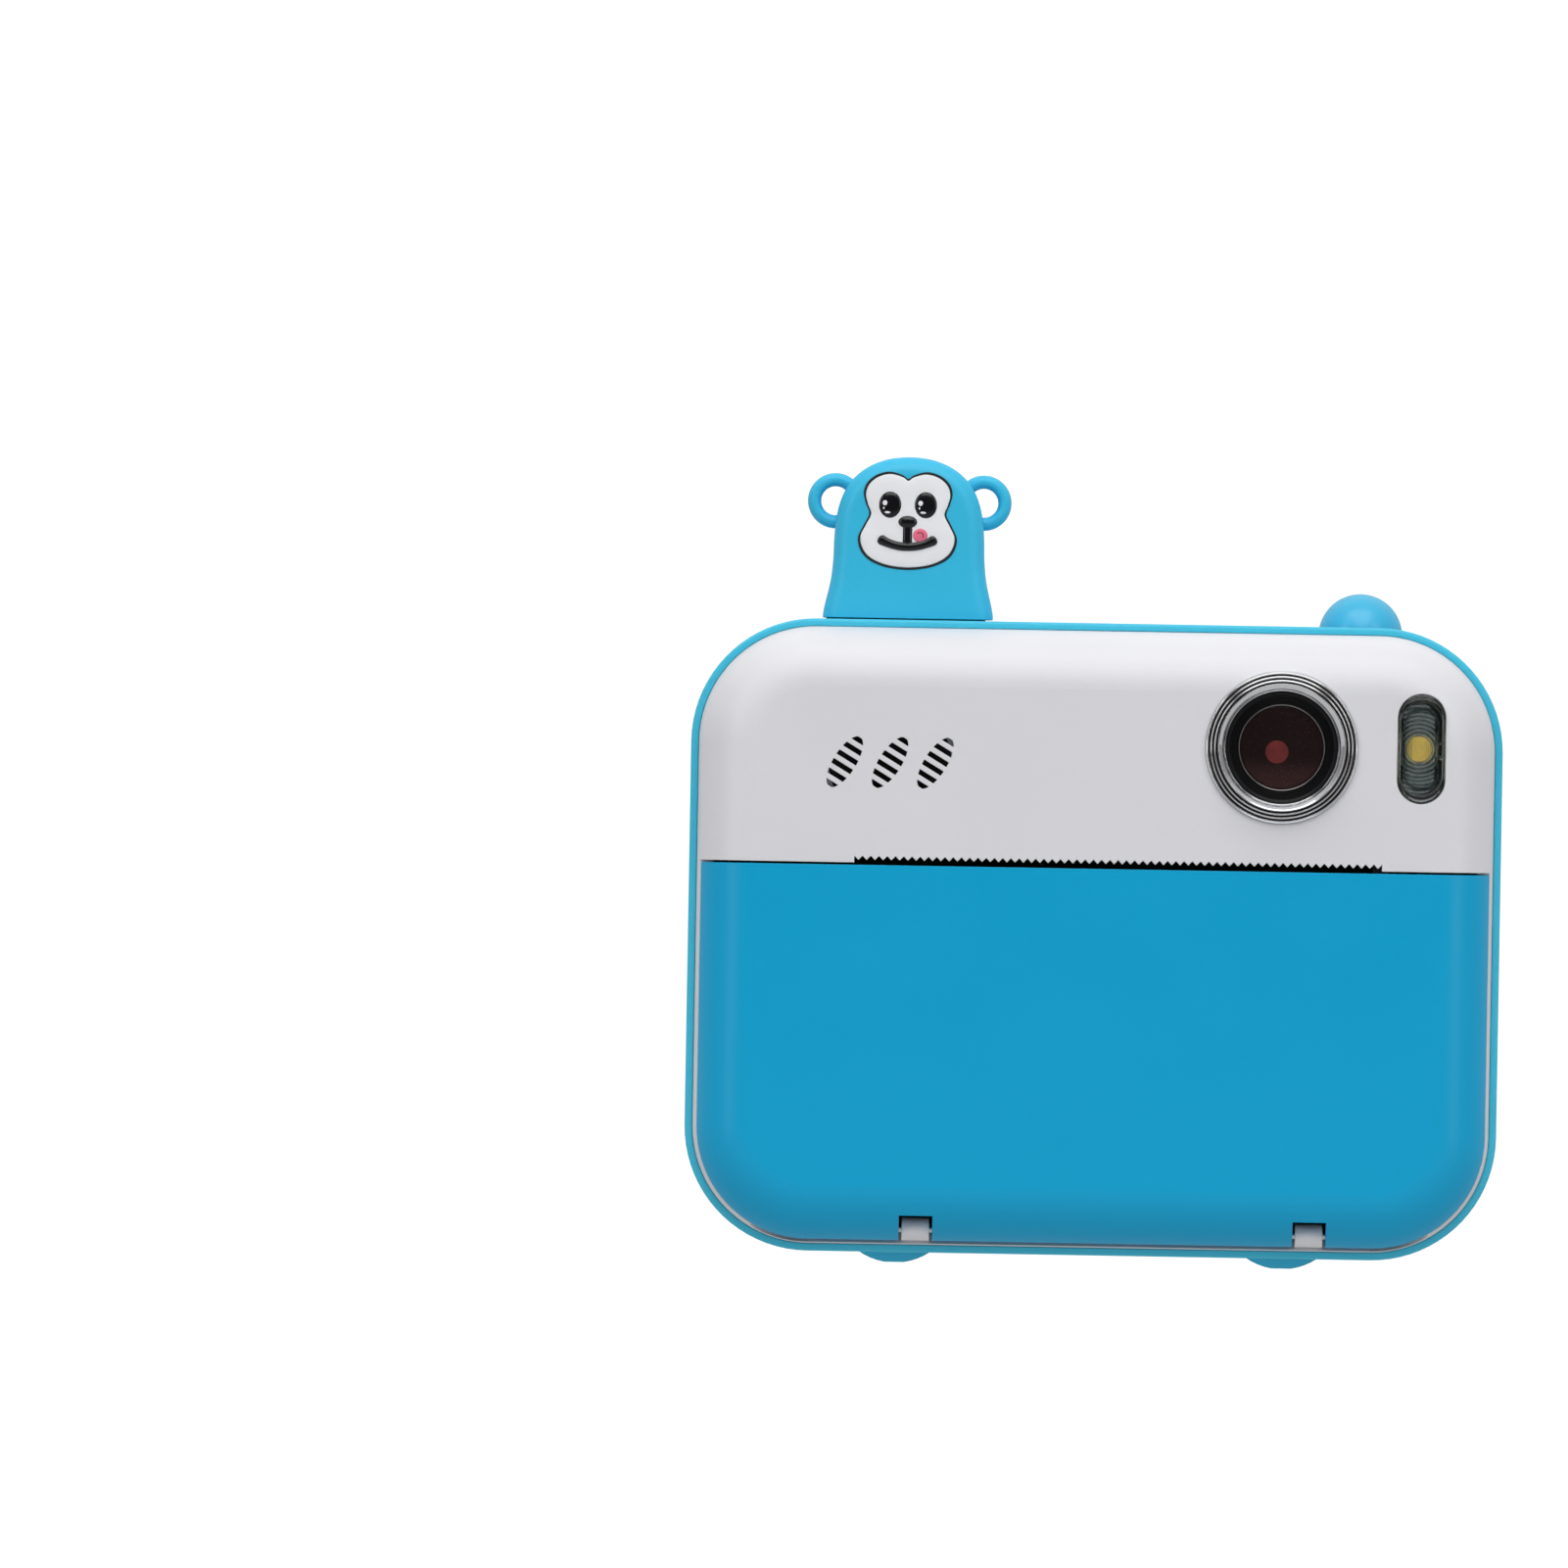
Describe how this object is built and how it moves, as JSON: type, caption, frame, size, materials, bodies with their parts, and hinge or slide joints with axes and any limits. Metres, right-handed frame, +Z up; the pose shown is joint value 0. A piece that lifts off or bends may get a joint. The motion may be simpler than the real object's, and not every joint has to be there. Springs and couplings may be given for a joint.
{
  "type": "kids digital camera",
  "caption": "Children's instant-print camera: rounded white body in a blue silicone case with a monkey head on top, a hinged paper door over a thermal printer, and a screen and keys behind.",
  "frame": {"origin": "on the ground under the middle of the silicone case, half-way between the lens ring's front and the case's back", "axes": "+Z up, +Y towards the back so that the lens looks along -Y, +X to the right of someone facing the lens"},
  "size_m": [0.124, 0.05, 0.1233],
  "materials": {
    "shell_white": "satin",
    "door_blue": "satin",
    "case_silicone": "satin",
    "head_silicone": "satin",
    "face_white": "satin",
    "face_black": "satin",
    "face_pink": "satin",
    "button_blue": "satin",
    "chromed_ring": "polished",
    "barrel_black": "satin",
    "lens_glass": "polished",
    "cell_black": "matte",
    "window_clear": "polished",
    "lamp_yellow": "satin",
    "board_green": "satin",
    "board_white": "satin",
    "chip_black": "matte",
    "steel": "brushed",
    "zinc_steel": "satin",
    "cone_paper": "matte",
    "heat_sink": "satin",
    "ceramic_strip": "satin",
    "roller_rubber": "matte",
    "bay_plastic": "matte",
    "gear_white": "satin",
    "pinion_brass": "satin",
    "bush_acetal": "satin",
    "thermal_paper": "matte",
    "core_card": "matte",
    "pouch_foil": "satin",
    "screen_glass": "polished",
    "lcd_dark": "satin",
    "key_plastic": "satin"
  },
  "bodies": {
    "camera_body": {"front_shell": "shell_white", "rear_shell": "shell_white", "silicone_case": "case_silicone", "monkey_head": "head_silicone", "face_plate": "face_white", "face_eyes": "face_black", "face_mouth": "face_black", "face_tongue": "face_pink", "shutter_switch": "chip_black", "shutter_board": "board_green", "shutter_spring": "steel", "lens_bezel": "chromed_ring", "lens_barrel": "barrel_black", "lens_glass": "lens_glass", "camera_lens": "cell_black", "camera_board": "board_green", "flash_window": "window_clear", "flash_lamp": "lamp_yellow", "flash_board": "board_white", "speaker_driver": "zinc_steel", "speaker_cone": "cone_paper", "idler_axle": "steel", "stepper_motor": "zinc_steel", "head_pivot_pin": "steel", "head_springs": "steel", "paper_bay": "bay_plastic", "main_board": "board_green", "board_chips": "chip_black", "usb_socket": "steel", "card_socket": "steel", "reset_switch": "chip_black", "battery": "pouch_foil", "lcd_panel": "lcd_dark", "screen_window": "screen_glass", "key_switches": "chip_black", "hinge_pins": "steel", "shell_screws": "zinc_steel", "bay_screws": "zinc_steel"},
    "door": {"paper_door": "door_blue", "platen_bushes": "bush_acetal"},
    "platen": {"platen_rubber": "roller_rubber", "platen_shaft": "steel", "platen_gear": "gear_white"},
    "idler": {"idler_gear": "gear_white"},
    "pinion": {"motor_pinion": "pinion_brass"},
    "print_head": {"heat_sink": "heat_sink", "thermal_head": "ceramic_strip"},
    "roll": {"paper_roll": "thermal_paper", "roll_core": "core_card"},
    "shutter": {"shutter_button": "button_blue"},
    "key_ok_cap": {"key_ok": "key_plastic"},
    "key_up_cap": {"key_up": "key_plastic"},
    "key_down_cap": {"key_down": "key_plastic"},
    "key_left_cap": {"key_left": "key_plastic"},
    "key_right_cap": {"key_right": "key_plastic"},
    "key_power_cap": {"key_power": "key_plastic"},
    "key_menu_cap": {"key_menu": "key_plastic"}
  },
  "joints": [
    {"name": "door_hinge", "type": "hinge", "parent": "camera_body", "child": "door", "pos_m": [0, -0.0171, 0.0053], "axis": [1, 0, 0], "range_deg": [0, 84]},
    {"name": "platen_spin", "type": "hinge", "parent": "door", "child": "platen", "pos_m": [0.0035, -0.0145, 0.055], "axis": [1, 0, 0], "continuous": true},
    {"name": "idler_spin", "type": "hinge", "parent": "camera_body", "child": "idler", "pos_m": [0.042, -0.0055, 0.055], "axis": [1, 0, 0], "continuous": true},
    {"name": "pinion_spin", "type": "hinge", "parent": "camera_body", "child": "pinion", "pos_m": [0.045, -0.0055, 0.0454], "axis": [1, 0, 0], "continuous": true},
    {"name": "print_head_pivot", "type": "hinge", "parent": "camera_body", "child": "print_head", "pos_m": [0.0035, -0.0074, 0.0476], "axis": [1, 0, 0], "range_deg": [-1.5, 0], "stiffness_Nm_per_rad": 1},
    {"name": "roll_spin", "type": "hinge", "parent": "camera_body", "child": "roll", "pos_m": [0.0035, -0.0055, 0.027], "axis": [1, 0, 0], "continuous": true},
    {"name": "shutter_press", "type": "slide", "parent": "camera_body", "child": "shutter", "axis": [0, 0, -1], "range_m": [0, 0.0015], "stiffness_N_per_m": 600, "deforming": ["shutter_spring"]},
    {"name": "key_ok_press", "type": "slide", "parent": "camera_body", "child": "key_ok_cap", "axis": [0, -1, 0], "range_m": [0, 0.0007], "stiffness_N_per_m": 400},
    {"name": "key_up_press", "type": "slide", "parent": "camera_body", "child": "key_up_cap", "axis": [0, -1, 0], "range_m": [0, 0.0007], "stiffness_N_per_m": 400},
    {"name": "key_down_press", "type": "slide", "parent": "camera_body", "child": "key_down_cap", "axis": [0, -1, 0], "range_m": [0, 0.0007], "stiffness_N_per_m": 400},
    {"name": "key_left_press", "type": "slide", "parent": "camera_body", "child": "key_left_cap", "axis": [0, -1, 0], "range_m": [0, 0.0007], "stiffness_N_per_m": 400},
    {"name": "key_right_press", "type": "slide", "parent": "camera_body", "child": "key_right_cap", "axis": [0, -1, 0], "range_m": [0, 0.0007], "stiffness_N_per_m": 400},
    {"name": "key_power_press", "type": "slide", "parent": "camera_body", "child": "key_power_cap", "axis": [0, -1, 0], "range_m": [0, 0.0007], "stiffness_N_per_m": 400},
    {"name": "key_menu_press", "type": "slide", "parent": "camera_body", "child": "key_menu_cap", "axis": [0, -1, 0], "range_m": [0, 0.0007], "stiffness_N_per_m": 400}
  ],
  "couplings": [
    {"joint": "idler_spin", "follows": "platen_spin", "ratio": -1.25},
    {"joint": "pinion_spin", "follows": "platen_spin", "ratio": 3.75}
  ]
}
